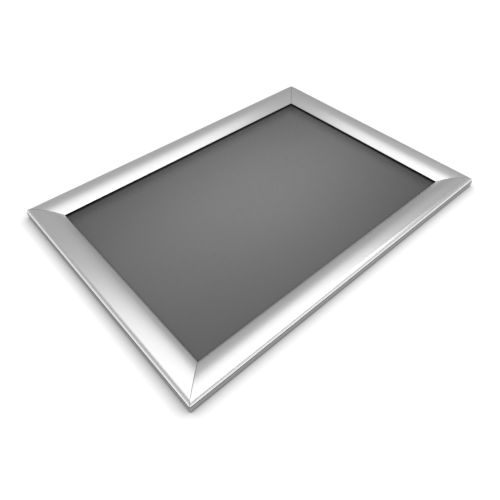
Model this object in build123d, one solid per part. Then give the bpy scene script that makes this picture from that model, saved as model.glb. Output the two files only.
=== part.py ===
from build123d import *
import os

# Front-loading clip frame for a standard sheet, lying on its back.
# Four mitred rails are joined by corner keys, and each rail carries a snap cover that flips open.
# X runs along the long side, Y along the short side, Z up out of the face.
# A rail's section is drawn with x as the distance in from its outer face and y as the height.

# Insert and its pocket
insert_length = 297.0
insert_width = 210.0
pocket_clearance = 0.3
rail_to_pocket = 15.7

# Base rail
floor_thickness = 1.0
outer_wall = 1.0
stop_wall = 0.8
stop_height = 3.6
ledge_width = 7.5
rib_place = 7.5
rib_thickness = 0.8
rib_height = 3.2
hook_reach = 0.6
hook_thickness = 0.6
nib_place = 12.6
nib_thickness = 0.6
nib_height = 2.0
corner_radius = 1.0

# Hinge along the outer edge: a bead on the cover turns in a cup on the base rail
hinge_inset = 1.5
hinge_height = 5.0
bead_radius = 0.8
bead_clearance = 0.05
cup_outer_radius = 1.5
cup_inner_tip_angle = 29.0
cup_outer_tip_angle = 151.0
neck_angle = 50.0
neck_thickness = 0.5
neck_length = 4.8
cover_clearance = 0.25
bead_end_setback = 3.0

# Snap cover
cover_width = 24.0
cover_skin = 1.2
brow_inset = 0.2
brow_tip_angle = 125.0
shoulder_radius = 4.0
crown_height = 9.7
land_width = 2.0
land_height = 4.6
lip_height = 3.8
lip_thickness = 0.6
lip_nose_radius = 0.25
taper_slope = 0.35
taper_length = 6.0
mitre_gap = 0.3
leg_place = 4.3
leg_thickness = 0.8
leg_end_setback = 14.0
toe_reach = 0.8
toe_thickness = 0.4
toe_floor_gap = 0.4

# Leaf springs that hold the covers shut or open
spring_thickness = 0.4
spring_width = 30.0
spring_rise = 3.0
spring_seat_gap = 0.1
spring_key_gap = 14.0

# Corner keys and their grub screws
key_length = 32.0
key_thickness = 1.4
key_clearance = 0.1
key_end_radius = 1.0
screw_radius = 1.5
screw_clearance = 0.05
screw_from_end = 6.0
screw_length = 2.0
screw_socket_across = 1.5
screw_socket_depth = 1.0

# Wall fixings
fixing_hole_radius = 1.75

# Inner pieces
panel_thickness = 0.8
sheet_thickness = 0.3
insert_corner_radius = 1.0

# Overrun for cuts
overrun = 1.0

# Overall sizes
frame_length = insert_length + 2 * (pocket_clearance + rail_to_pocket)
frame_width = insert_width + 2 * (pocket_clearance + rail_to_pocket)
key_channel_start = rib_place + rib_thickness
key_channel_width = nib_place - key_channel_start
key_channel_middle = key_channel_start + key_channel_width / 2
hinge_point = (hinge_inset, hinge_height)

# The outer springs stand clear of the keys, and the wall fixings are midway between the springs
spring_from_corner = key_channel_start + key_length + spring_key_gap + spring_width / 2
long_spring_place = frame_length / 2 - spring_from_corner
short_spring_place = frame_width / 2 - spring_from_corner
fixing_place = long_spring_place / 2


def box_section(start, end, bottom, top):
    """A rectangle of the section between two distances in and two heights."""
    middle = Pos((start + end) / 2, (bottom + top) / 2)
    return middle * Rectangle(end - start, top - bottom)


def sector(radius, start_angle, end_angle):
    """A pie slice about the hinge, anticlockwise from the first angle to the second."""
    arc = CenterArc((0, 0), radius, start_angle, end_angle - start_angle)
    sides = Polyline(arc @ 1, (0, 0), arc @ 0)
    return Pos(*hinge_point) * make_face(Wire([arc, *sides.edges()]))


def hinge_circle(radius):
    """A disc about the hinge axis."""
    return Pos(*hinge_point) * Circle(radius)


def base_section():
    """The base rail: floor, cup for the hinge, key channel, stop for the insert and ledge."""
    floor = box_section(0, rail_to_pocket + ledge_width, 0, floor_thickness)
    wall = box_section(0, outer_wall, 0, hinge_height)
    mouth = sector(cup_outer_radius + overrun, cup_inner_tip_angle, cup_outer_tip_angle)
    cup = hinge_circle(cup_outer_radius)
    rib = box_section(rib_place, key_channel_start, 0, rib_height)
    hook = box_section(rib_place, key_channel_start + hook_reach, rib_height - hook_thickness, rib_height)
    nib = box_section(nib_place, nib_place + nib_thickness, 0, nib_height)
    stop = box_section(rail_to_pocket - stop_wall, rail_to_pocket, 0, stop_height)
    whole = floor + wall + cup + rib + hook + nib + stop
    return whole - mouth - hinge_circle(bead_radius + bead_clearance)


def dome_section():
    """The cover's skin: a rounded shoulder, a long low dome, and a flatter land that thins to the lip."""
    foot = (brow_inset, crown_height - shoulder_radius)
    crown = (foot[0] + shoulder_radius, crown_height)
    shoulder = TangentArc(foot, crown, tangent=(0, 1))
    dome = TangentArc(crown, (cover_width - land_width, land_height), tangent=(1, 0))
    land = Line(dome @ 1, (cover_width, lip_height))
    outline = Wire([shoulder, dome, land])
    skin = make_face(outline.offset_2d(-cover_skin, side=Side.RIGHT))
    under_lip = land @ 1 + (land % 1).rotate(Axis.Z, -90) * lip_thickness
    taper_start = (under_lip.X - taper_length, under_lip.Y + taper_length * taper_slope)
    taper_end = (under_lip.X + overrun, under_lip.Y - overrun * taper_slope)
    taper = Polyline(taper_start, taper_end, (taper_end[0], 0), (taper_start[0], 0), taper_start)
    skin -= make_face(Wire(taper.edges()))
    nose = skin.vertices().sort_by(Axis.X)[-2:]
    return fillet(nose, lip_nose_radius)


def cover_shell_section():
    """The skin with its relief round the cup, a brow over the cup's mouth, and the neck that carries it."""
    relief = hinge_circle(cup_outer_radius + cover_clearance)
    under_brow = sector(cup_outer_radius + crown_height, brow_tip_angle, 270)
    neck = Pos(*hinge_point) * Rot(0, 0, neck_angle) * Pos(neck_length / 2, 0) * Rectangle(neck_length, neck_thickness)
    return dome_section() - relief - under_brow + (neck - hinge_circle(bead_radius / 2))


def cover_leg_section():
    """The leg inside the cover whose toe holds the springs."""
    toe_bottom = floor_thickness + toe_floor_gap
    leg = box_section(leg_place, leg_place + leg_thickness, toe_bottom, crown_height - cover_skin / 2)
    toe = box_section(leg_place, leg_place + leg_thickness + toe_reach, toe_bottom, toe_bottom + toe_thickness)
    return leg + toe


def along_rail(section, length):
    """Extrudes a section along the rail, centred on it: in is +Y and the outer face is at y = 0."""
    return Plane.YZ * extrude(section, length / 2, both=True)


def mitre_block(length, setback):
    """The part of the plan that one rail fills between its two mitres."""
    half = length / 2 - setback
    plan = Polyline((-half, 0), (half, 0), (half - cover_width, cover_width), (cover_width - half, cover_width))
    plan_face = make_face(Wire([*plan.edges(), Line(plan @ 1, plan @ 0)]))
    return Pos(0, 0, -overrun) * extrude(plan_face, crown_height + 2 * overrun)


def place_rail(shape, side):
    """Moves a rail, drawn along X, to one side of the frame."""
    places = {
        "bottom": Pos(0, -frame_width / 2),
        "right": Pos(frame_length / 2, 0) * Rot(0, 0, 90),
        "top": Pos(0, frame_width / 2) * Rot(0, 0, 180),
        "left": Pos(-frame_length / 2, 0) * Rot(0, 0, -90),
    }
    return places[side] * shape


def base_rail(side, length):
    """One mitred base rail, with wall-fixing holes in the long ones."""
    rail = along_rail(base_section(), length) & mitre_block(length, 0)
    if side in ("bottom", "top"):
        drill = Cylinder(fixing_hole_radius, floor_thickness + 2 * overrun)
        for x in (-fixing_place, fixing_place):
            rail -= Pos(x, key_channel_middle, floor_thickness / 2) * drill
    rounded_plan = RectangleRounded(frame_length, frame_width, corner_radius)
    rounding = Pos(0, 0, -overrun) * extrude(rounded_plan, crown_height + 2 * overrun)
    return place_rail(rail, side) & rounding


def snap_cover(side, length):
    """One mitred cover. Its bead and leg end short of the mitre, so it flips clear of its neighbour."""
    setback = mitre_gap / 2 * 2**0.5
    shell = along_rail(cover_shell_section(), length) & mitre_block(length, setback)
    bead = along_rail(hinge_circle(bead_radius), length - 2 * bead_end_setback)
    leg = along_rail(cover_leg_section(), length - 2 * leg_end_setback)
    return place_rail(shell + bead + leg, side)


def leaf_spring():
    """A bowed leaf that stands between the cover's toe and the base rail's nib."""
    half_leaf = spring_thickness / 2
    cover_end = (
        leg_place + leg_thickness + spring_seat_gap + half_leaf,
        floor_thickness + toe_floor_gap + toe_thickness + spring_seat_gap,
    )
    base_end = (nib_place - spring_seat_gap - half_leaf, floor_thickness + spring_seat_gap)
    top = ((cover_end[0] + base_end[0]) / 2, (cover_end[1] + base_end[1]) / 2 + spring_rise)
    arc = ThreePointArc(cover_end, top, base_end)
    outer_arc = Edge.make_circle(arc.radius + half_leaf)
    inner_arc = Edge.make_circle(arc.radius - half_leaf)
    ring = make_face(Wire([outer_arc])) - make_face(Wire([inner_arc]))
    pie_end = arc.arc_center
    ends = [pie_end + (p - pie_end) * 2 for p in (arc @ 0, arc @ 1)]
    gap = Polyline(pie_end, ends[0], (ends[0].X, -arc.radius), (ends[1].X, -arc.radius), ends[1], pie_end)
    leaf = Pos(pie_end.X, pie_end.Y) * ring - make_face(Wire(gap.edges()))
    return along_rail(leaf, spring_width)


def corner_key():
    """An L-shaped key for the near left corner, lying in both rails' channels."""
    inset = key_channel_start + key_clearance
    width = key_channel_width - 2 * key_clearance
    along_x = Pos(key_length / 2, width / 2) * Rectangle(key_length, width)
    along_y = Pos(width / 2, key_length / 2) * Rectangle(width, key_length)
    plan = along_x + along_y
    ends = plan.vertices().filter_by(lambda v: max(v.X, v.Y) > key_length - key_end_radius)
    plan = fillet(ends, key_end_radius)
    for place in screw_places():
        plan -= Pos(place[0] - inset, place[1] - inset) * Circle(screw_radius)
    return Pos(inset, inset, floor_thickness) * extrude(plan, key_thickness)


def screw_places():
    """Plan places of a key's two grub screws, from the near left corner."""
    along = key_channel_start + key_length - screw_from_end
    return [(along, key_channel_middle), (key_channel_middle, along)]


def grub_screws():
    """The two grub screws of a key, driven down on the channel floor."""
    body = Cylinder(screw_radius - screw_clearance, screw_length, align=(Align.CENTER, Align.CENTER, Align.MIN))
    socket_plan = RegularPolygon(screw_socket_across / 2, 6, major_radius=False)
    socket = Pos(0, 0, screw_length - screw_socket_depth) * extrude(socket_plan, screw_socket_depth + overrun)
    screw = body - socket
    return [Pos(x, y, floor_thickness) * screw for x, y in screw_places()]


def at_corner(shape, corner):
    """Moves a piece drawn for the near left corner, with that corner at the origin, to any corner."""
    turns = {
        "bottom_left": Pos(-frame_length / 2, -frame_width / 2),
        "bottom_right": Pos(frame_length / 2, -frame_width / 2) * Rot(0, 0, 90),
        "top_right": Pos(frame_length / 2, frame_width / 2) * Rot(0, 0, 180),
        "top_left": Pos(-frame_length / 2, frame_width / 2) * Rot(0, 0, -90),
    }
    return turns[corner] * shape


def insert_sheet(bottom, thickness):
    """A rectangle the size of the insert, with softened corners."""
    plan = RectangleRounded(insert_length, insert_width, insert_corner_radius)
    return Pos(0, 0, bottom) * extrude(plan, thickness)


pieces = {}
side_lengths = {"bottom": frame_length, "right": frame_width, "top": frame_length, "left": frame_width}
for side, length in side_lengths.items():
    pieces["base_rail_" + side] = base_rail(side, length)
    pieces["snap_cover_" + side] = snap_cover(side, length)

# Springs: three on each long side and two on each short side
spring = leaf_spring()
long_places = {"left": -long_spring_place, "middle": 0, "right": long_spring_place}
short_places = {"near": -short_spring_place, "far": short_spring_place}
for side in ("bottom", "top"):
    for name, x in long_places.items():
        turned = x if side == "bottom" else -x
        pieces["spring_" + side + "_" + name] = place_rail(Pos(turned, 0) * spring, side)
for side in ("left", "right"):
    for name, y in short_places.items():
        turned = y if side == "right" else -y
        pieces["spring_" + side + "_" + name] = place_rail(Pos(turned, 0) * spring, side)

key = corner_key()
screws = []
for corner in ("bottom_left", "bottom_right", "top_right", "top_left"):
    pieces["corner_key_" + corner] = at_corner(key, corner)
    screws += [at_corner(screw, corner) for screw in grub_screws()]
pieces["corner_key_screws"] = Compound(children=screws)

pieces["back_panel"] = insert_sheet(floor_thickness, panel_thickness)
pieces["cover_sheet"] = insert_sheet(floor_thickness + panel_thickness, sheet_thickness)

os.makedirs("parts", exist_ok=True)
for name, piece in pieces.items():
    export_step(piece, "parts/" + name + ".step")
print(len(pieces), "nodes,", frame_length, "x", frame_width, "x", crown_height, "mm")
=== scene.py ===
import math

import bmesh
import bpy
from mathutils import Matrix, Vector


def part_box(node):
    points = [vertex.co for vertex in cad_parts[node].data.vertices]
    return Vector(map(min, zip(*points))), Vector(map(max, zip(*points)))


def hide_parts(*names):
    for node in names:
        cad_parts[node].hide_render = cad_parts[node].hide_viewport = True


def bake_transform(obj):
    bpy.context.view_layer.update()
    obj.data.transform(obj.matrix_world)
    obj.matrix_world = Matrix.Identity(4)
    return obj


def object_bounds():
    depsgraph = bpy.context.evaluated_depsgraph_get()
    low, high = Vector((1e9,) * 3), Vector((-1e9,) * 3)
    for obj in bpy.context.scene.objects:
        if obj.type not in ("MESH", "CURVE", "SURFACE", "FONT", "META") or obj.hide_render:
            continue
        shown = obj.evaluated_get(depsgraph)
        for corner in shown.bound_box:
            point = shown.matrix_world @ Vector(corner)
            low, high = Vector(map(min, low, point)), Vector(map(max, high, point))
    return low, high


bl_info = {
    "name": "Snap frame",
    "version": (1, 0, 0),
    "blender": (4, 5, 0),
    "location": "3D View > Sidebar > Snap frame",
    "description": "Finishes a clip frame with flip-open rails and sets up its studio",
    "category": "Object",
}

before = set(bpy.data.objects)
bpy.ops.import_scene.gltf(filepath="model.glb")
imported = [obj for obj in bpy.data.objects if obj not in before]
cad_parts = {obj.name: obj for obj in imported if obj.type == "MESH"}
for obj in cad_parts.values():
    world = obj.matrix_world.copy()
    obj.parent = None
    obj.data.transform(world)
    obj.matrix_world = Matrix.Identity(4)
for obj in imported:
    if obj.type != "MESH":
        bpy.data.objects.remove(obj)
cad_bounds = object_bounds()

SIDES = ("bottom", "right", "top", "left")
ALONG_X = ("bottom", "top")

# Settings

class CoverSettings(bpy.types.PropertyGroup):
    """Finish of the four snap covers"""

    colour: bpy.props.FloatVectorProperty(
        name="Anodised colour", description="Colour of the satin anodised covers",
        subtype="COLOR", size=3, min=0, max=1, default=(0.84, 0.84, 0.843),
    )
    roughness: bpy.props.FloatProperty(
        name="Roughness", description="How far the satin finish spreads a reflection",
        subtype="FACTOR", min=0, max=1, default=0.37,
    )
    line_pitch: bpy.props.FloatProperty(
        name="Die line pitch",
        description="Mean distance between the fine lines along the extrusion",
        unit="LENGTH", min=0.00005, max=0.01, default=0.0006,
    )
    line_depth: bpy.props.FloatProperty(
        name="Die line depth", description="Height of the fine lines along the extrusion",
        unit="LENGTH", min=0, max=0.001, default=0.000004,
    )


class BaseSettings(bpy.types.PropertyGroup):
    """Finish of the base rails under the covers: the covers' aluminium, darker in colour as painted
    shade
    """

    # Painted shade: darker than the covers' colour, for the rails' shade under the covers
    colour: bpy.props.FloatVectorProperty(
        name="Rail colour", description="Colour of the base rails",
        subtype="COLOR", size=3, min=0, max=1, default=(0.37, 0.37, 0.372),
    )
    roughness: bpy.props.FloatProperty(
        name="Roughness", description="How far the base rails spread a reflection",
        subtype="FACTOR", min=0, max=1, default=0.45,
    )


class SteelSettings(bpy.types.PropertyGroup):
    """Finish of the springs, keys and screws"""

    leaf_thickness: bpy.props.FloatProperty(
        name="Leaf thickness", description="Thickness of the spring strip",
        unit="LENGTH", min=0.0001, max=0.002, default=0.0004,
    )
    leaf_corner: bpy.props.FloatProperty(
        name="Leaf corner radius", description="Radius of the rounded corners of a leaf",
        unit="LENGTH", min=0.0001, max=0.01, default=0.0025,
    )
    leaf_end_step: bpy.props.FloatProperty(
        name="Leaf end step",
        description="How far a leaf's end at the cover stands above its end at the rail",
        unit="LENGTH", min=0, max=0.01, default=0.0008,
    )
    leaf_edge_break: bpy.props.FloatProperty(
        name="Leaf edge break", description="Width of the tumbled edge of a leaf",
        unit="LENGTH", min=0.00001, max=0.0002, default=0.00006,
    )
    spring_colour: bpy.props.FloatVectorProperty(
        name="Spring steel", description="Colour of the leaf springs",
        subtype="COLOR", size=3, min=0, max=1, default=(0.50, 0.51, 0.53),
    )
    key_colour: bpy.props.FloatVectorProperty(
        name="Zinc plate", description="Colour of the corner keys",
        subtype="COLOR", size=3, min=0, max=1, default=(0.60, 0.61, 0.60),
    )
    screw_colour: bpy.props.FloatVectorProperty(
        name="Black oxide", description="Colour of the grub screws",
        subtype="COLOR", size=3, min=0, max=1, default=(0.07, 0.07, 0.075),
    )


class InsertSettings(bpy.types.PropertyGroup):
    """Finish of the back panel and the clear sheet over it"""

    panel_colour: bpy.props.FloatVectorProperty(
        name="Panel colour", description="Colour of the back panel",
        subtype="COLOR", size=3, min=0, max=1, default=(0.11, 0.11, 0.112),
    )
    sheet_colour: bpy.props.FloatVectorProperty(
        name="Sheet haze colour", description="Colour of the haze in the matt clear sheet",
        subtype="COLOR", size=3, min=0, max=1, default=(0.22, 0.22, 0.22),
    )
    # Painted shade: far from the sheet's middle its colour is darkened to this share
    edge_shade_share: bpy.props.FloatProperty(
        name="Edge haze",
        description="Share of the haze colour left far from the middle of the sheet",
        subtype="FACTOR", min=0, max=1, default=0.22,
    )
    sheet_haze: bpy.props.FloatProperty(
        name="Sheet haze", description="How much of the panel the matt sheet veils",
        subtype="FACTOR", min=0, max=1, default=0.9,
    )
    # Painted shade under the far lips, put into the sheet's colour
    rim_reach: bpy.props.FloatProperty(
        name="Lip shade reach",
        description="How far the shade of the far lips spreads over the sheet",
        unit="LENGTH", min=0.001, max=0.1, default=0.018,
    )
    rim_depth: bpy.props.FloatProperty(
        name="Lip shade depth", description="How dark the shade under the far lips is",
        min=0.1, max=10, default=4.6,
    )
    sheet_roughness: bpy.props.FloatProperty(
        name="Sheet roughness", description="How matt the face of the clear sheet is",
        subtype="FACTOR", min=0, max=1, default=0.5,
    )


class StageSettings(bpy.types.PropertyGroup):
    """Studio round the frame"""

    floor_colour: bpy.props.FloatVectorProperty(
        name="Floor colour", description="Colour of the pale floor",
        subtype="COLOR", size=3, min=0, max=1, default=(0.85, 0.85, 0.85),
    )
    floor_glow: bpy.props.FloatProperty(
        name="Floor glow",
        description="Brightness of the open floor where the camera or metal sees it",
        min=0, max=1, default=1.0,
    )
    # Painted contact shadow in the floor's glow
    shadow_reach: bpy.props.FloatProperty(
        name="Contact shadow reach",
        description="How far the contact shadow spreads from the frame",
        unit="LENGTH", min=0.001, max=0.5, default=0.0125,
    )
    shadow_depth: bpy.props.FloatProperty(
        name="Contact shadow depth", description="How dark the contact shadow is",
        min=0.1, max=5, default=1.5,
    )
    softbox_radiance: bpy.props.FloatProperty(
        name="Softbox brightness",
        description="Brightness of the overhead softbox, where 1 is white",
        min=0, max=10, default=0.84,
    )
    softbox_height: bpy.props.FloatProperty(
        name="Softbox height", description="Height of the overhead softbox over the floor",
        unit="LENGTH", min=0.1, max=5, default=0.235,
    )
    key_radiance: bpy.props.FloatProperty(
        name="Key brightness",
        description="Brightness that each round key lamp adds to the softbox",
        min=0, max=10, default=1.3,
    )
    room_level: bpy.props.FloatProperty(
        name="Room brightness", description="Brightness of the room above the horizon",
        min=0, max=2, default=0.41,
    )
    window_level: bpy.props.FloatProperty(
        name="Window side brightness",
        description="Brightness of the room's low part on its light side",
        min=0, max=2, default=0.55,
    )
    front_level: bpy.props.FloatProperty(
        name="Front brightness",
        description="Brightness that the room's low part gains in front of the frame",
        min=0, max=2, default=0.92,
    )
    horizon_level: bpy.props.FloatProperty(
        name="Horizon brightness", description="Brightness of the pale sweep at the horizon",
        min=0, max=2, default=0.9,
    )


# Node helpers

NODE_SPACING = 200
WHITE = (1.0, 1.0, 1.0, 1.0)
BLACK = (0.0, 0.0, 0.0, 1.0)
UNIT = (0.0, 1.0)
# The middle part of a noise texture's values, which is spread to 0 to 1
NOISE_RANGE = (0.3, 0.7)
BAND_RANGE = (0.35, 0.65)
# Noise scale of the slow bands of tone, as a share of the die lines'
BAND_SCALE = 0.12
SHADE_SAMPLES = 16


class Nodes:
    """Adds nodes to a tree and links them, with positions left to right."""

    def __init__(self, tree):
        self.tree = tree
        self.count = 0

    def fill(self, socket, value):
        """Links a socket to an output, or gives it a plain value."""
        if isinstance(value, bpy.types.NodeSocket):
            self.tree.links.new(value, socket)
        else:
            socket.default_value = value

    def add(self, kind, inputs=None, **settings):
        """A new node with its settings, and its inputs by name or number."""
        node = self.tree.nodes.new(kind)
        node.location = (NODE_SPACING * self.count, 0)
        self.count += 1
        for name, value in settings.items():
            setattr(node, name, value)
        for name, value in (inputs or {}).items():
            self.fill(node.inputs[name], value)
        return node

    def math(self, operation, first, second=None):
        inputs = {0: first} if second is None else {0: first, 1: second}
        return self.add("ShaderNodeMath", inputs, operation=operation).outputs[0]

    def vector(self, operation, first, second=None, output="Vector"):
        inputs = {0: first} if second is None else {0: first, 1: second}
        return self.add("ShaderNodeVectorMath", inputs, operation=operation).outputs[output]

    def map_range(self, value, source, target, interpolation="LINEAR"):
        """Maps a value from one range to another, each given by its two ends."""
        inputs = {
            "Value": value,
            "From Min": source[0], "From Max": source[1],
            "To Min": target[0], "To Max": target[1],
        }
        node = self.add("ShaderNodeMapRange", inputs, interpolation_type=interpolation)
        return node.outputs["Result"]

    def noise(self, vector, scale, detail=2.0, roughness=0.5):
        inputs = {"Vector": vector, "Scale": scale, "Detail": detail, "Roughness": roughness}
        return self.add("ShaderNodeTexNoise", inputs).outputs["Fac"]

    def mix_colour(self, factor, first, second):
        """A mix of two colours, which a mix node takes at inputs 6 and 7 and gives at output 2."""
        inputs = {0: factor, 6: first, 7: second}
        return self.add("ShaderNodeMix", inputs, data_type="RGBA").outputs[2]

    def shared(self, name, build, inputs):
        """Outputs of a placed copy of the shared node group of that name, built on first use."""
        tree = bpy.data.node_groups.get(name) or build(name)
        return self.add("ShaderNodeGroup", inputs, node_tree=tree).outputs


def new_group(name, inputs, outputs):
    """An empty shader node group with named sockets, its nodes and its input node."""
    group = bpy.data.node_groups.new(name, "ShaderNodeTree")
    for socket_name, socket_type, default in inputs:
        socket = group.interface.new_socket(socket_name, in_out="INPUT", socket_type=socket_type)
        if default is not None:
            socket.default_value = default
    for socket_name, socket_type in outputs:
        group.interface.new_socket(socket_name, in_out="OUTPUT", socket_type=socket_type)
    nodes = Nodes(group)
    entry = nodes.add("NodeGroupInput")
    return group, nodes, entry


def finish_group(nodes, values):
    """Links named values to a group's outputs."""
    nodes.add("NodeGroupOutput", values)


def build_extrusion_grain(name):
    """Fine lines that run along an extrusion, and slow bands of tone beside them."""
    group, nodes, entry = new_group(
        name,
        [
            ("Position", "NodeSocketVector", None),
            ("Across", "NodeSocketVector", (1.0, 1.0, 1.0)),
            ("Line Pitch", "NodeSocketFloat", 0.0006),
        ],
        [("Lines", "NodeSocketFloat"), ("Bands", "NodeSocketFloat")],
    )
    stretched = nodes.vector("MULTIPLY", entry.outputs["Position"], entry.outputs["Across"])
    line_scale = nodes.math("DIVIDE", 1.0, entry.outputs["Line Pitch"])
    lines = nodes.noise(stretched, line_scale, detail=3.0, roughness=0.6)
    bands = nodes.noise(stretched, nodes.math("MULTIPLY", line_scale, BAND_SCALE))
    finish_group(nodes, {
        "Lines": nodes.map_range(lines, NOISE_RANGE, UNIT),
        "Bands": nodes.map_range(bands, BAND_RANGE, UNIT),
    })
    return group


def build_surface_wear(name):
    """Cloudy handling marks."""
    group, nodes, entry = new_group(
        name,
        [("Position", "NodeSocketVector", None), ("Cloud Size", "NodeSocketFloat", 0.03)],
        [("Clouds", "NodeSocketFloat")],
    )
    scale = nodes.math("DIVIDE", 1.0, entry.outputs["Cloud Size"])
    clouds = nodes.noise(entry.outputs["Position"], scale, detail=4.0)
    finish_group(nodes, {"Clouds": nodes.map_range(clouds, NOISE_RANGE, UNIT)})
    return group


def build_fine_tooth(name):
    """The even, fine tooth of a matt sheet or a moulded face."""
    group, nodes, entry = new_group(
        name,
        [("Position", "NodeSocketVector", None), ("Tooth Size", "NodeSocketFloat", 0.0004)],
        [("Tooth", "NodeSocketFloat")],
    )
    scale = nodes.math("DIVIDE", 1.0, entry.outputs["Tooth Size"])
    tooth = nodes.noise(entry.outputs["Position"], scale, detail=1.0)
    finish_group(nodes, {"Tooth": nodes.map_range(tooth, NOISE_RANGE, UNIT)})
    return group


def build_leaning_shade(name):
    """Soft shade beside raised edges, deeper on the side that the lean points to, 1 in the open."""
    group, nodes, entry = new_group(
        name,
        [
            ("Lean", "NodeSocketVector", (0.0, 0.0, 0.0)),
            ("Reach", "NodeSocketFloat", 0.01),
            ("Depth", "NodeSocketFloat", 2.0),
        ],
        [("Shade", "NodeSocketFloat")],
    )
    normal = nodes.add("ShaderNodeNewGeometry").outputs["Normal"]
    leaned = nodes.vector("ADD", normal, entry.outputs["Lean"])
    length = nodes.vector("LENGTH", leaned, output="Value")
    inputs = {"Distance": entry.outputs["Reach"], "Normal": nodes.vector("NORMALIZE", leaned)}
    occlusion = nodes.add("ShaderNodeAmbientOcclusion", inputs, samples=SHADE_SAMPLES)
    # The leaned half-sphere dips under a flat face, so in the open it sees a share of
    # (1 + cosine of the lean) / 2
    cosine = nodes.math("DIVIDE", 1.0, length)
    open_level = nodes.math("MULTIPLY", nodes.math("ADD", cosine, 1.0), 0.5)
    share = nodes.math("MINIMUM", nodes.math("DIVIDE", occlusion.outputs["AO"], open_level), 1.0)
    finish_group(nodes, {"Shade": nodes.math("POWER", share, entry.outputs["Depth"])})
    return group


def leaning_shade(nodes, lean, reach, depth):
    """The shade of raised edges, 1 in the open."""
    return nodes.shared("Leaning shade", build_leaning_shade, {
        "Lean": lean, "Reach": reach, "Depth": depth,
    })["Shade"]


def empty_material(name):
    """A material with an empty tree, and its nodes."""
    material = bpy.data.materials.new(name)
    material.use_nodes = True
    material.node_tree.nodes.clear()
    return material, Nodes(material.node_tree)


def new_material(name):
    """A material with an empty tree, its nodes and its object coordinates."""
    material, nodes = empty_material(name)
    return material, nodes, nodes.add("ShaderNodeTexCoord").outputs["Object"]


def finish_material(nodes, shader_inputs, height=None, bump_distance=0.0):
    """Adds the shader, with a bump where there is a height, and links it to the output."""
    if height is not None:
        bump = nodes.add("ShaderNodeBump", {"Height": height, "Distance": bump_distance})
        shader_inputs = {**shader_inputs, "Normal": bump.outputs["Normal"]}
    shader = nodes.add("ShaderNodeBsdfPrincipled", shader_inputs)
    nodes.add("ShaderNodeOutputMaterial", {"Surface": shader.outputs["BSDF"]})


def shade(colour, factor):
    """A colour multiplied by a factor, with full alpha."""
    return (*[channel * factor for channel in colour], 1.0)


def two_tones(nodes, mask, colour, tones):
    """A colour that a mask moves from one share of itself to another."""
    return nodes.mix_colour(mask, shade(colour, tones[0]), shade(colour, tones[1]))


# Materials

# Length of the grain's pattern along a rail is its width divided by this
LENGTHWISE_SHRINK = 0.004
# In metres, the cover's face rolls down from LIP_ROLL_START in from the rail's outer face,
# by LIP_ROLL times the square of the way past it
LIP_ROLL_START = 0.0216
LIP_ROLL = 100.0
# Bump distance for a height that is given in metres
METRES = 1.0
# Shares of each colour that its pattern moves between
GRAIN_TONES = (0.975, 1.02)
LEAF_TONES = (0.85, 1.1)
SPANGLE_TONES = (0.8, 1.1)
PANEL_TONES = (0.96, 1.04)
SHEET_TONES = (0.94, 1.06)
# How far roughness goes from its mean, and what handling marks add to it
GRAIN_ROUGHENING = 0.02
MARKS_ROUGHENING = 0.02
SPANGLE_ROUGHENING = (-0.08, 0.1)
SHEET_ROUGHENING = 0.03
LEAF_ROUGHNESS = (0.26, 0.38)
PANEL_ROUGHNESS = (0.5, 0.6)
LEAF_CLOUD_SIZE = 0.006
SHEET_CLOUD_SIZE = 0.06
# How much the flake pattern rises over one crystal size, from 0 at a crystal's middle
SPANGLE_CONTRAST = 0.8
ZINC_SPANGLE = 0.0012
ZINC_ROUGHNESS = 0.4
OXIDE_GRAIN = 0.0005
OXIDE_ROUGHNESS = 0.45
PANEL_TOOTH_HEIGHT = 0.00002
VEIL_SPREAD = 0.01
LIP_SHADE_LEAN = (1.4, 1.4, 0.0)
# Middle of the painted pool of light on the sheet, and how far from it along X and Y it fades into
# painted shade
PAINTED_LIGHT_CENTRE = (0.033, 0.030, 0.0)
PAINTED_LIGHT_SPREAD = (0.166, 0.082, 1.0)
IN_PLAN = (1.0, 1.0, 0.0)


def across_scale(side):
    """Squeezes the grain along the rail, so that its lines run lengthwise."""
    return (LENGTHWISE_SHRINK, 1.0, 1.0) if side in ALONG_X else (1.0, LENGTHWISE_SHRINK, 1.0)


def distance_in(nodes, position, side):
    """Distance in from a rail's outer face at the shaded point."""
    low, high = cad_bounds
    parts = nodes.add("ShaderNodeSeparateXYZ", {0: position}).outputs
    if side == "bottom":
        return nodes.math("SUBTRACT", parts["Y"], low[1])
    if side == "top":
        return nodes.math("SUBTRACT", high[1], parts["Y"])
    if side == "left":
        return nodes.math("SUBTRACT", parts["X"], low[0])
    return nodes.math("SUBTRACT", high[0], parts["X"])


def lip_fall(nodes, position, side):
    """How far the cover's face falls at its rolled lip, in metres."""
    past = nodes.math("SUBTRACT", distance_in(nodes, position, side), LIP_ROLL_START)
    past = nodes.math("MAXIMUM", past, 0.0)
    return nodes.math("MULTIPLY", nodes.math("MULTIPLY", past, past), LIP_ROLL)


def satin_aluminium(name, side, colour, roughness, pitch, depth, lip=False):
    """Satin anodised aluminium with die lines along the rail and faint handling marks."""
    material, nodes, position = new_material(name)
    grain = nodes.shared("Extrusion grain", build_extrusion_grain, {
        "Position": position, "Across": across_scale(side), "Line Pitch": pitch,
    })
    wear = nodes.shared("Surface wear", build_surface_wear, {"Position": position})
    tone = nodes.math("MULTIPLY", nodes.math("ADD", grain["Lines"], grain["Bands"]), 0.5)
    height = nodes.math("MULTIPLY", grain["Lines"], depth)
    if lip:
        height = nodes.math("SUBTRACT", height, lip_fall(nodes, position, side))
    rough = nodes.map_range(
        tone, UNIT, (roughness - GRAIN_ROUGHENING, roughness + GRAIN_ROUGHENING)
    )
    marks = nodes.math("MULTIPLY", wear["Clouds"], MARKS_ROUGHENING)
    finish_material(
        nodes,
        {
            "Base Color": two_tones(nodes, tone, colour, GRAIN_TONES),
            "Metallic": 1.0,
            "Roughness": nodes.math("ADD", rough, marks),
        },
        height=height, bump_distance=METRES,
    )
    return material


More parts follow.
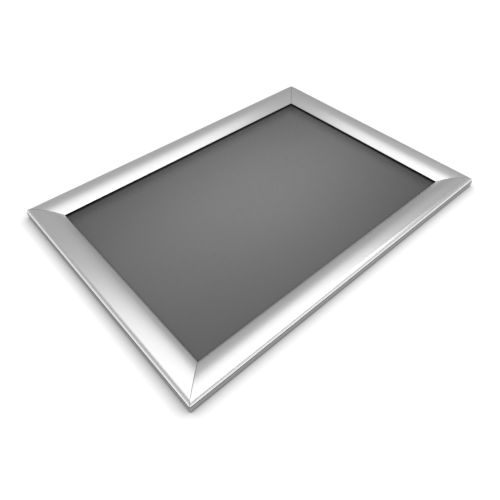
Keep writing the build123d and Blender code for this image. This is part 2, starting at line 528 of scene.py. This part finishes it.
def leaf_steel(name, colour):
    """Rolled spring strip with cloudy changes of tone and finish."""
    material, nodes, position = new_material(name)
    wear = nodes.shared("Surface wear", build_surface_wear, {
        "Position": position, "Cloud Size": LEAF_CLOUD_SIZE,
    })
    finish_material(nodes, {
        "Base Color": two_tones(nodes, wear["Clouds"], colour, LEAF_TONES),
        "Metallic": 1.0,
        "Roughness": nodes.map_range(wear["Clouds"], UNIT, LEAF_ROUGHNESS),
    })
    return material


def plated_steel(name, colour, spangle, roughness):
    """Plated steel with a small crystal spangle."""
    material, nodes, position = new_material(name)
    cells = nodes.add("ShaderNodeTexVoronoi", {"Vector": position, "Scale": 1.0 / spangle})
    flake = nodes.math("MULTIPLY", cells.outputs["Distance"], SPANGLE_CONTRAST)
    smooth, coarse = SPANGLE_ROUGHENING
    finish_material(nodes, {
        "Base Color": two_tones(nodes, flake, colour, SPANGLE_TONES),
        "Metallic": 1.0,
        "Roughness": nodes.map_range(flake, UNIT, (roughness + smooth, roughness + coarse)),
    })
    return material


def panel_plastic(name, colour):
    """Dark plastic sheet with a fine tooth and faint clouding."""
    material, nodes, position = new_material(name)
    wear = nodes.shared("Surface wear", build_surface_wear, {"Position": position})
    tooth = nodes.shared("Fine tooth", build_fine_tooth, {"Position": position})
    finish_material(
        nodes,
        {
            "Base Color": two_tones(nodes, wear["Clouds"], colour, PANEL_TONES),
            "Roughness": nodes.map_range(wear["Clouds"], UNIT, PANEL_ROUGHNESS),
        },
        height=tooth["Tooth"], bump_distance=PANEL_TOOTH_HEIGHT,
    )
    return material


def painted_light_pool(nodes, position):
    """1 at the middle of the painted pool of light on the sheet, falling in a bell curve to 0 far
    from it.
    """
    offset = nodes.vector("SUBTRACT", position, PAINTED_LIGHT_CENTRE)
    offset = nodes.vector("DIVIDE", offset, PAINTED_LIGHT_SPREAD)
    offset = nodes.vector("MULTIPLY", offset, IN_PLAN)
    squared = nodes.vector("DOT_PRODUCT", offset, offset, output="Value")
    return nodes.math("POWER", math.exp(-0.5), squared)


def matt_sheet(name, settings):
    """Clear matt sheet: a veil with a painted pool of light in its middle and painted shade under
    the far lips.
    """
    material, nodes, position = new_material(name)
    clouds = nodes.shared("Surface wear", build_surface_wear, {
        "Position": position, "Cloud Size": SHEET_CLOUD_SIZE,
    })["Clouds"]
    tooth = nodes.shared("Fine tooth", build_fine_tooth, {"Position": position})["Tooth"]
    haze, rough = settings.sheet_haze, settings.sheet_roughness
    # Painted light and shade: the sheet's colour is lighter in a pool in its middle and darker
    # towards its edges
    painted_shade_edge_tones = [tone * settings.edge_shade_share for tone in SHEET_TONES]
    edge = two_tones(nodes, tooth, settings.sheet_colour, painted_shade_edge_tones)
    middle = two_tones(nodes, tooth, settings.sheet_colour, SHEET_TONES)
    base = nodes.mix_colour(painted_light_pool(nodes, position), edge, middle)
    # Painted shade: the sheet's colour darkens towards black under the far lips, from a leaning
    # occlusion
    lip_shade = leaning_shade(nodes, LIP_SHADE_LEAN, settings.rim_reach, settings.rim_depth)
    finish_material(nodes, {
        "Base Color": nodes.mix_colour(lip_shade, BLACK, base),
        "Roughness": nodes.map_range(
            tooth, UNIT, (rough - SHEET_ROUGHENING, rough + SHEET_ROUGHENING)
        ),
        "Alpha": nodes.map_range(clouds, UNIT, (haze - VEIL_SPREAD, haze + VEIL_SPREAD)),
    })
    return material


def dress(node, material):
    """Gives a carried-over node one material."""
    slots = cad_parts[node].material_slots
    if not slots:
        raise RuntimeError("the node " + node + " has no material slot")
    for slot in slots:
        slot.link = "DATA"
        slot.material = material


# Leaf spring

LEAF_ROWS = 20
LEAF_CORNER_ROWS = 6
LEAF_COLUMNS = 8
# Edges sharper than the first angle are broken, and those sharper than the second shade as edges
LEAF_BREAK_ANGLE = math.radians(60)
LEAF_SHARP_ANGLE = math.radians(30)


def rail_point(side, inset, height, along):
    """A point from its distance in from a rail's outer face, its height and its place along it."""
    low, high = cad_bounds
    places = {
        "bottom": (along, low[1] + inset, height),
        "right": (high[0] - inset, along, height),
        "top": (along, high[1] - inset, height),
        "left": (low[0] + inset, along, height),
    }
    return Vector(places[side])


def inset_range(side, low, high):
    """A box's range of distances in from the rail's outer face, and its range along the rail."""
    outer_low, outer_high = cad_bounds
    if side == "bottom":
        return low.y - outer_low[1], high.y - outer_low[1], low.x, high.x
    if side == "top":
        return outer_high[1] - high.y, outer_high[1] - low.y, low.x, high.x
    if side == "left":
        return low.x - outer_low[0], high.x - outer_low[0], low.y, high.y
    return outer_high[0] - high.x, outer_high[0] - low.x, low.y, high.y


def circle_through(first, second, third):
    """Centre and radius of the circle through three points of a plane."""
    turn = 2 * ((second - first).cross(third - first))
    to_second, to_third = second - first, third - first
    x = (to_third.y * to_second.length_squared - to_second.y * to_third.length_squared) / turn
    y = (to_second.x * to_third.length_squared - to_third.x * to_second.length_squared) / turn
    return first + Vector((x, y)), math.hypot(x, y)


def leaf_rows(length, corner):
    """Distances along a leaf, closer together at its rounded corners."""
    turns = [math.pi / 2 * step / LEAF_CORNER_ROWS for step in range(LEAF_CORNER_ROWS)]
    ends = [corner * (1 - math.cos(turn)) for turn in turns]
    plain = [corner + (length - 2 * corner) * step / LEAF_ROWS for step in range(LEAF_ROWS + 1)]
    return ends + plain + [length - distance for distance in reversed(ends)]


def leaf_half_width(distance, length, half_width, corner):
    """Half the width of a leaf at a distance along it."""
    into_corner = corner - min(distance, length - distance)
    if into_corner <= 0:
        return half_width
    return half_width - corner + math.sqrt(max(corner * corner - into_corner * into_corner, 0))


def leaf_row(shape, side, inset, height, middle, reach):
    """A row of vertices across a leaf, from one long edge to the other."""
    row = []
    for k in range(LEAF_COLUMNS + 1):
        along = middle + reach * (2 * k / LEAF_COLUMNS - 1)
        row.append(shape.verts.new(rail_point(side, inset, height, along)))
    return row


def close_leaf(shape, outer, inner):
    """Faces over the outer and inner layer of a leaf and round its rim."""
    last_row, last_column = len(outer) - 1, LEAF_COLUMNS
    for rows in (outer, inner):
        for i in range(last_row):
            for k in range(last_column):
                corners = (rows[i][k], rows[i][k + 1], rows[i + 1][k + 1], rows[i + 1][k])
                shape.faces.new(corners)
    for i in range(last_row):
        for k in (0, last_column):
            shape.faces.new((outer[i][k], outer[i + 1][k], inner[i + 1][k], inner[i][k]))
    for k in range(last_column):
        for i in (0, last_row):
            shape.faces.new((outer[i][k], outer[i][k + 1], inner[i][k + 1], inner[i][k]))
    bmesh.ops.recalc_face_normals(shape, faces=shape.faces)


def build_leaf(node, side, settings):
    """A bowed leaf with rounded corners, bending from the base rail to the toe of its cover."""
    low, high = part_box(node)
    near, far, along_low, along_high = inset_range(side, low, high)
    half = settings.leaf_thickness / 2
    cover_end = Vector((near + half, low.z + settings.leaf_end_step))
    base_end = Vector((far - half, low.z))
    crown = Vector(((cover_end.x + base_end.x) / 2, high.z - half))
    centre, radius = circle_through(cover_end, crown, base_end)
    start_angle = math.atan2(cover_end.y - centre.y, cover_end.x - centre.x)
    end_angle = math.atan2(base_end.y - centre.y, base_end.x - centre.x)
    if start_angle < 0:
        start_angle += 2 * math.pi
    length = radius * (start_angle - end_angle)
    half_width = (along_high - along_low) / 2
    along_middle = (along_high + along_low) / 2

    shape = bmesh.new()
    layers = []
    for lift in (half, -half):
        rows = []
        for distance in leaf_rows(length, settings.leaf_corner):
            angle = start_angle - distance / radius
            inset = centre.x + (radius + lift) * math.cos(angle)
            height = centre.y + (radius + lift) * math.sin(angle)
            reach = leaf_half_width(distance, length, half_width, settings.leaf_corner)
            rows.append(leaf_row(shape, side, inset, height, along_middle, reach))
        layers.append(rows)
    close_leaf(shape, *layers)
    rim = [edge for edge in shape.edges if edge.calc_face_angle(0) > LEAF_BREAK_ANGLE]
    bmesh.ops.bevel(shape, geom=rim, offset=settings.leaf_edge_break, segments=1, affect="EDGES")
    mesh = bpy.data.meshes.new(node + "_leaf")
    shape.to_mesh(mesh)
    shape.free()
    mesh.shade_smooth()
    mesh.set_sharp_from_angle(angle=LEAF_SHARP_ANGLE)
    leaf = bpy.data.objects.new(node + "_leaf", mesh)
    bpy.context.scene.collection.objects.link(leaf)
    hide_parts(node)
    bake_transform(leaf)
    return leaf


# Operators

class SNAPFRAME_OT_covers(bpy.types.Operator):
    """Finish the four snap covers in satin anodised aluminium"""

    bl_idname = "snap_frame.covers"
    bl_label = "Snap covers"

    def execute(self, context):
        settings = context.scene.snap_frame_covers
        for side in SIDES:
            material = satin_aluminium(
                "satin_cover_" + side, side, settings.colour, settings.roughness,
                settings.line_pitch, settings.line_depth, lip=True,
            )
            dress("snap_cover_" + side, material)
        return {"FINISHED"}


class SNAPFRAME_OT_base_rails(bpy.types.Operator):
    """Finish the four base rails"""

    bl_idname = "snap_frame.base_rails"
    bl_label = "Base rails"

    def execute(self, context):
        settings = context.scene.snap_frame_base
        covers = context.scene.snap_frame_covers
        for side in SIDES:
            # Painted shade: the covers' aluminium with the rails' darker colour
            material = satin_aluminium(
                "satin_base_" + side, side, settings.colour, settings.roughness,
                covers.line_pitch, covers.line_depth,
            )
            dress("base_rail_" + side, material)
        return {"FINISHED"}


class SNAPFRAME_OT_keys(bpy.types.Operator):
    """Finish the corner keys and their grub screws"""

    bl_idname = "snap_frame.keys"
    bl_label = "Corner keys and screws"

    def execute(self, context):
        settings = context.scene.snap_frame_steel
        zinc = plated_steel("zinc_key", settings.key_colour, ZINC_SPANGLE, ZINC_ROUGHNESS)
        oxide = plated_steel(
            "black_oxide_screw", settings.screw_colour, OXIDE_GRAIN, OXIDE_ROUGHNESS
        )
        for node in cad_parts:
            if node.startswith("corner_key_") and node != "corner_key_screws":
                dress(node, zinc)
        dress("corner_key_screws", oxide)
        return {"FINISHED"}


class SNAPFRAME_OT_springs(bpy.types.Operator):
    """Build the leaf springs that bend between the base rails and the covers"""

    bl_idname = "snap_frame.springs"
    bl_label = "Leaf springs"

    def execute(self, context):
        settings = context.scene.snap_frame_steel
        steel = leaf_steel("spring_leaf", settings.spring_colour)
        for node in sorted(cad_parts):
            if node.startswith("spring_"):
                leaf = build_leaf(node, node.split("_")[1], settings)
                leaf.data.materials.append(steel)
        return {"FINISHED"}


class SNAPFRAME_OT_insert(bpy.types.Operator):
    """Finish the back panel and the clear matt sheet"""

    bl_idname = "snap_frame.insert"
    bl_label = "Back panel and clear sheet"

    def execute(self, context):
        settings = context.scene.snap_frame_insert
        dress("back_panel", panel_plastic("dark_panel", settings.panel_colour))
        dress("cover_sheet", matt_sheet("matt_clear_sheet", settings))
        return {"FINISHED"}


# Stage

# The photograph's view, with its lens and axis in pixels of a picture PICTURE_PIXELS wide
PICTURE_PIXELS = 500
FOCAL_PIXELS = 479.53
AXIS_PIXEL = (261.11, 228.62)
CAMERA_AZIMUTH = math.radians(-42.151)
CAMERA_ELEVATION = math.radians(44.752)
CAMERA_ROLL = -0.0037
CAMERA_DISTANCE = 0.41557
CAMERA_TARGET = Vector((-0.02176, -0.02948, 0.0))
SENSOR_WIDTH = 36.0
CLIP_START = 0.01

# Plan places and sizes of the lamps over the frame
SOFTBOX_CENTRE = (-0.041, -0.060)
SOFTBOX_SIZE = (0.511, 0.470)
# Centre and diameter of each round key lamp, and how far each hangs under the lamp before it
KEYS = (((0.061, -0.257), 0.36), ((-0.239, -0.233), 0.31))
KEY_DROP = 0.001

FLOOR_HALF = 2.5
FLOOR_SEGMENTS = 8
# Share of its colour that the floor keeps where it is seen, so that it shows its glow instead
FLOOR_SEEN_LIT = 0.12
SHADOW_LEAN = (0.12, 0.0, 0.0)

# Tops of the room's parts are heights of a unit direction, 0 at the horizon and 1 overhead.
# The two sides are directions in plan towards the light side and the front.
SWEEP_TOP = 0.12
WALL_TOP = 0.45
WALL_LEVEL = 0.085
WINDOW_SIDE = (-0.689, 0.725, 0.0)
FRONT_SIDE = (0.766, -0.643, 0.0)
FRONT_NARROWNESS = 2.0


class SNAPFRAME_OT_stage(bpy.types.Operator):
    """Add the floor, the softbox, the room light and the camera"""

    bl_idname = "snap_frame.stage"
    bl_label = "Stage"

    def execute(self, context):
        settings = context.scene.snap_frame_stage
        add_floor(settings)
        add_lamps(settings)
        light_room(settings)
        add_camera()
        context.scene.view_settings.view_transform = "Standard"
        return {"FINISHED"}


def seen_directly(nodes):
    """1 where the camera, metal or glass sees a surface, 0 where it only lights others."""
    path = nodes.add("ShaderNodeLightPath").outputs
    seen = nodes.math("MAXIMUM", path["Is Camera Ray"], path["Is Glossy Ray"])
    return nodes.math("MAXIMUM", seen, path["Is Transmission Ray"])


def add_floor(settings):
    """A pale floor that shows as white to the camera and in metal, with a painted contact shadow in
    its glow and the lamps' own shadow in its lit share.
    """
    mesh = bpy.data.meshes.new("floor")
    shape = bmesh.new()
    bmesh.ops.create_grid(
        shape, x_segments=FLOOR_SEGMENTS, y_segments=FLOOR_SEGMENTS, size=FLOOR_HALF
    )
    shape.to_mesh(mesh)
    shape.free()
    floor = bpy.data.objects.new("floor", mesh)
    bpy.context.scene.collection.objects.link(floor)
    material, nodes = empty_material("pale_floor")
    seen = seen_directly(nodes)
    # Painted shadow: an occlusion darkens the floor's glow round the frame
    shadow = leaning_shade(nodes, SHADOW_LEAN, settings.shadow_reach, settings.shadow_depth)
    tone = two_tones(nodes, seen, settings.floor_colour, (1.0, FLOOR_SEEN_LIT))
    diffuse = nodes.add("ShaderNodeBsdfDiffuse", {"Color": tone})
    emission = nodes.add("ShaderNodeEmission", {
        "Color": nodes.mix_colour(shadow, BLACK, WHITE),
        "Strength": nodes.math("MULTIPLY", seen, settings.floor_glow),
    })
    both = nodes.add("ShaderNodeAddShader", {0: diffuse.outputs[0], 1: emission.outputs[0]})
    nodes.add("ShaderNodeOutputMaterial", {"Surface": both.outputs[0]})
    mesh.materials.append(material)


def add_lamp(name, shape, size, centre, height, radiance):
    """An area lamp over the object that faces down, with its brightness given as a radiance."""
    light = bpy.data.lights.new(name, "AREA")
    light.shape = shape
    light.size = size[0]
    area = math.pi * size[0] ** 2 / 4
    if shape == "RECTANGLE":
        light.size_y = size[1]
        area = size[0] * size[1]
    light.energy = radiance * math.pi * area
    lamp = bpy.data.objects.new(name, light)
    lamp.location = (*centre, height)
    lamp.visible_camera = False
    bpy.context.scene.collection.objects.link(lamp)


def add_lamps(settings):
    """The large softbox over the object and the round key lamps just under it."""
    height = settings.softbox_height
    add_lamp(
        "softbox", "RECTANGLE", SOFTBOX_SIZE, SOFTBOX_CENTRE, height, settings.softbox_radiance
    )
    for number, (centre, width) in enumerate(KEYS, 1):
        height -= KEY_DROP
        add_lamp("key_" + str(number), "DISK", (width,), centre, height, settings.key_radiance)


def light_room(settings):
    """A dim room with a pale sweep at the horizon, which the camera sees as white."""
    world = bpy.data.worlds.new("room")
    bpy.context.scene.world = world
    world.use_nodes = True
    world.node_tree.nodes.clear()
    nodes = Nodes(world.node_tree)
    direction = nodes.add("ShaderNodeTexCoord").outputs["Generated"]
    height = nodes.add("ShaderNodeSeparateXYZ", {0: direction}).outputs["Z"]
    window = nodes.vector("DOT_PRODUCT", direction, WINDOW_SIDE, output="Value")
    wall = nodes.math("MULTIPLY", window, settings.window_level)
    wall = nodes.math("MAXIMUM", nodes.math("ADD", wall, WALL_LEVEL), 0.0)
    front = nodes.vector("DOT_PRODUCT", direction, FRONT_SIDE, output="Value")
    front = nodes.math("POWER", nodes.math("MAXIMUM", front, 0.0), FRONT_NARROWNESS)
    wall = nodes.math("ADD", wall, nodes.math("MULTIPLY", front, settings.front_level))
    rise = nodes.map_range(height, (0.0, WALL_TOP), UNIT, "SMOOTHSTEP")
    low_part = nodes.math("MULTIPLY", wall, nodes.math("SUBTRACT", 1.0, rise))
    high_part = nodes.math("MULTIPLY", rise, settings.room_level)
    room = nodes.math("ADD", low_part, high_part)
    sweep = nodes.map_range(height, (0.0, SWEEP_TOP), (settings.horizon_level, 0.0))
    room = nodes.math("MAXIMUM", room, sweep)
    camera_ray = nodes.add("ShaderNodeLightPath").outputs["Is Camera Ray"]
    level = nodes.math("MAXIMUM", room, camera_ray)
    background = nodes.add("ShaderNodeBackground", {"Color": WHITE, "Strength": level})
    nodes.add("ShaderNodeOutputWorld", {"Surface": background.outputs[0]})


def add_camera():
    """The camera at the photograph's place, with the shift that its framing needs."""
    camera = bpy.data.cameras.new("camera")
    camera.sensor_width = SENSOR_WIDTH
    camera.lens = FOCAL_PIXELS * SENSOR_WIDTH / PICTURE_PIXELS
    camera.shift_x = (PICTURE_PIXELS / 2 - AXIS_PIXEL[0]) / PICTURE_PIXELS
    camera.shift_y = (AXIS_PIXEL[1] - PICTURE_PIXELS / 2) / PICTURE_PIXELS
    camera.clip_start = CLIP_START
    back = Vector((
        math.sin(CAMERA_AZIMUTH) * math.cos(CAMERA_ELEVATION),
        -math.cos(CAMERA_AZIMUTH) * math.cos(CAMERA_ELEVATION),
        math.sin(CAMERA_ELEVATION),
    ))
    right = Vector((0, 0, 1)).cross(back).normalized()
    facing = Matrix((right, back.cross(right), back)).transposed().to_4x4()
    place = Matrix.Translation(CAMERA_TARGET + back * CAMERA_DISTANCE)
    viewer = bpy.data.objects.new("camera", camera)
    viewer.matrix_world = place @ facing @ Matrix.Rotation(CAMERA_ROLL, 4, "Z")
    bpy.context.scene.collection.objects.link(viewer)
    bpy.context.scene.camera = viewer


class SNAPFRAME_PT_panel(bpy.types.Panel):
    """Snap frame tools"""

    bl_idname = "SNAPFRAME_PT_panel"
    bl_label = "Snap frame"
    bl_space_type = "VIEW_3D"
    bl_region_type = "UI"
    bl_category = "Snap frame"

    def draw(self, context):
        for name, (group, operators) in SECTIONS.items():
            box = self.layout.box()
            settings = getattr(context.scene, name)
            for prop in group.__annotations__:
                box.prop(settings, prop)
            for operator in operators:
                box.operator(operator.bl_idname)


SECTIONS = {
    "snap_frame_covers": (CoverSettings, (SNAPFRAME_OT_covers,)),
    "snap_frame_base": (BaseSettings, (SNAPFRAME_OT_base_rails,)),
    "snap_frame_steel": (SteelSettings, (SNAPFRAME_OT_keys, SNAPFRAME_OT_springs)),
    "snap_frame_insert": (InsertSettings, (SNAPFRAME_OT_insert,)),
    "snap_frame_stage": (StageSettings, (SNAPFRAME_OT_stage,)),
}


def register():
    """Registers the settings, operators and panel."""
    for name, (group, operators) in SECTIONS.items():
        bpy.utils.register_class(group)
        setattr(bpy.types.Scene, name, bpy.props.PointerProperty(type=group))
        for operator in operators:
            bpy.utils.register_class(operator)
    bpy.utils.register_class(SNAPFRAME_PT_panel)


def unregister():
    """Takes the panel, operators and settings away again."""
    bpy.utils.unregister_class(SNAPFRAME_PT_panel)
    for name, (group, operators) in reversed(SECTIONS.items()):
        for operator in reversed(operators):
            bpy.utils.unregister_class(operator)
        delattr(bpy.types.Scene, name)
        bpy.utils.unregister_class(group)


def main():
    """Builds the whole scene."""
    register()
    bpy.ops.snap_frame.covers()
    bpy.ops.snap_frame.base_rails()
    bpy.ops.snap_frame.keys()
    bpy.ops.snap_frame.springs()
    bpy.ops.snap_frame.insert()
    bpy.ops.snap_frame.stage()


if __name__ == "__main__":
    main()
